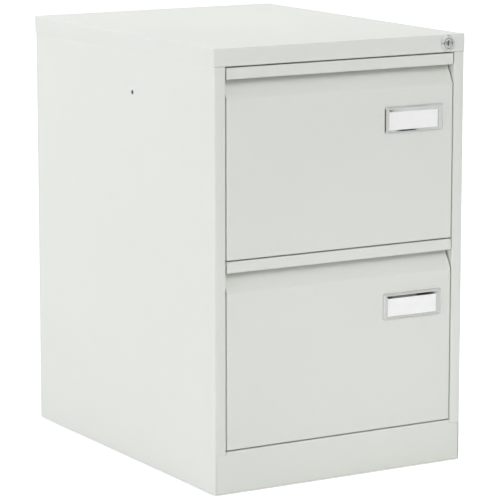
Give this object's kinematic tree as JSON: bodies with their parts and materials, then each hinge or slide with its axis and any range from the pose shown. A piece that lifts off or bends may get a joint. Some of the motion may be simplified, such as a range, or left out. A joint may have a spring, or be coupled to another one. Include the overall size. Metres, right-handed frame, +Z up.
{
  "type": "filing cabinet",
  "caption": "Steel filing cabinet with full-extension drawers on ball runners, recessed full-width grips, chrome label holders and a key lock in the top rail.",
  "frame": {"origin": "centre of the footprint, on the floor", "axes": "+Z up, the front faces -Y and the drawers open along -Y, +X to the right seen from the front"},
  "size_m": [0.47, 0.6252, 0.711],
  "materials": {
    "case_paint": "satin powder coat, light goose grey",
    "drawer_paint": "satin powder coat, light goose grey",
    "runner_zinc": "bright zinc plate",
    "plated_steel": "zinc plate",
    "ball_steel": "polished bearing steel",
    "bright_chrome": "polished chrome plate",
    "card": "plain white card",
    "foot_plastic": "moulded nylon"
  },
  "bodies": {
    "carcass": {"top_cap": "case_paint", "left_side_panel": "case_paint", "right_side_panel": "case_paint", "back_panel": "case_paint", "base_pan": "case_paint", "plinth_panel": "case_paint", "top_brace": "case_paint", "front_uprights": "plated_steel", "rear_uprights": "plated_steel", "foot_brackets": "plated_steel", "levelling_feet": "foot_plastic", "foot_nuts": "plated_steel", "lock_housing": "bright_chrome", "lock_nut": "plated_steel", "runner_rivets": "plated_steel", "bar_guide_pins": "plated_steel", "upper_left_fixed_rail": "runner_zinc", "upper_right_fixed_rail": "runner_zinc", "lower_left_fixed_rail": "runner_zinc", "lower_right_fixed_rail": "runner_zinc"},
    "upper_drawer": {"upper_front_skin": "drawer_paint", "upper_inner_front": "drawer_paint", "upper_left_side": "drawer_paint", "upper_right_side": "drawer_paint", "upper_bottom": "drawer_paint", "upper_back": "drawer_paint", "upper_file_rails": "plated_steel", "upper_strikers": "plated_steel", "upper_label_holder": "bright_chrome", "upper_label_card": "card", "upper_left_drawer_rail": "runner_zinc", "upper_right_drawer_rail": "runner_zinc"},
    "upper_middle_rails": {"upper_left_middle_rail": "runner_zinc", "upper_right_middle_rail": "runner_zinc"},
    "upper_outer_bearings": {"upper_outer_cages": "runner_zinc", "upper_outer_balls": "ball_steel"},
    "upper_inner_bearings": {"upper_inner_cages": "runner_zinc", "upper_inner_balls": "ball_steel"},
    "lower_drawer": {"lower_front_skin": "drawer_paint", "lower_inner_front": "drawer_paint", "lower_left_side": "drawer_paint", "lower_right_side": "drawer_paint", "lower_bottom": "drawer_paint", "lower_back": "drawer_paint", "lower_file_rails": "plated_steel", "lower_strikers": "plated_steel", "lower_label_holder": "bright_chrome", "lower_label_card": "card", "lower_left_drawer_rail": "runner_zinc", "lower_right_drawer_rail": "runner_zinc"},
    "lower_middle_rails": {"lower_left_middle_rail": "runner_zinc", "lower_right_middle_rail": "runner_zinc"},
    "lower_outer_bearings": {"lower_outer_cages": "runner_zinc", "lower_outer_balls": "ball_steel"},
    "lower_inner_bearings": {"lower_inner_cages": "runner_zinc", "lower_inner_balls": "ball_steel"},
    "lock_core": {"lock_core": "bright_chrome", "lock_cam": "plated_steel"},
    "lock_bar": {"lock_bar": "plated_steel"},
    "anti_tilt_bar": {"anti_tilt_bar": "plated_steel"}
  },
  "joints": [
    {"name": "upper_drawer_slide", "type": "slide", "parent": "carcass", "child": "upper_drawer", "axis": [0, -1, 0], "range_m": [0, 0.54]},
    {"name": "upper_middle_rails_slide", "type": "slide", "parent": "carcass", "child": "upper_middle_rails", "axis": [0, -1, 0], "range_m": [0, 0.27]},
    {"name": "upper_outer_bearings_slide", "type": "slide", "parent": "carcass", "child": "upper_outer_bearings", "axis": [0, -1, 0], "range_m": [0, 0.135]},
    {"name": "upper_inner_bearings_slide", "type": "slide", "parent": "carcass", "child": "upper_inner_bearings", "axis": [0, -1, 0], "range_m": [0, 0.405]},
    {"name": "lower_drawer_slide", "type": "slide", "parent": "carcass", "child": "lower_drawer", "axis": [0, -1, 0], "range_m": [0, 0.54]},
    {"name": "lower_middle_rails_slide", "type": "slide", "parent": "carcass", "child": "lower_middle_rails", "axis": [0, -1, 0], "range_m": [0, 0.27]},
    {"name": "lower_outer_bearings_slide", "type": "slide", "parent": "carcass", "child": "lower_outer_bearings", "axis": [0, -1, 0], "range_m": [0, 0.135]},
    {"name": "lower_inner_bearings_slide", "type": "slide", "parent": "carcass", "child": "lower_inner_bearings", "axis": [0, -1, 0], "range_m": [0, 0.405]},
    {"name": "lock_bar_slide", "type": "slide", "parent": "carcass", "child": "lock_bar", "axis": [0, 0, -1], "range_m": [0, 0.00848]},
    {"name": "lock_turn", "type": "hinge", "parent": "carcass", "child": "lock_core", "pos_m": [0.2015, -0.311, 0.6965], "axis": [0, 1, 0], "range_deg": [0, 90]},
    {"name": "anti_tilt_bar_slide", "type": "slide", "parent": "carcass", "child": "anti_tilt_bar", "axis": [0, 0, 1], "range_m": [0, 0.0085]}
  ],
  "couplings": [
    {"joint": "upper_middle_rails_slide", "follows": "upper_drawer_slide", "ratio": 0.5},
    {"joint": "upper_outer_bearings_slide", "follows": "upper_drawer_slide", "ratio": 0.25},
    {"joint": "upper_inner_bearings_slide", "follows": "upper_drawer_slide", "ratio": 0.75},
    {"joint": "lower_middle_rails_slide", "follows": "lower_drawer_slide", "ratio": 0.5},
    {"joint": "lower_outer_bearings_slide", "follows": "lower_drawer_slide", "ratio": 0.25},
    {"joint": "lower_inner_bearings_slide", "follows": "lower_drawer_slide", "ratio": 0.75},
    {"joint": "lock_turn", "follows": "lock_bar_slide", "rad_per_m": 185.12}
  ]
}
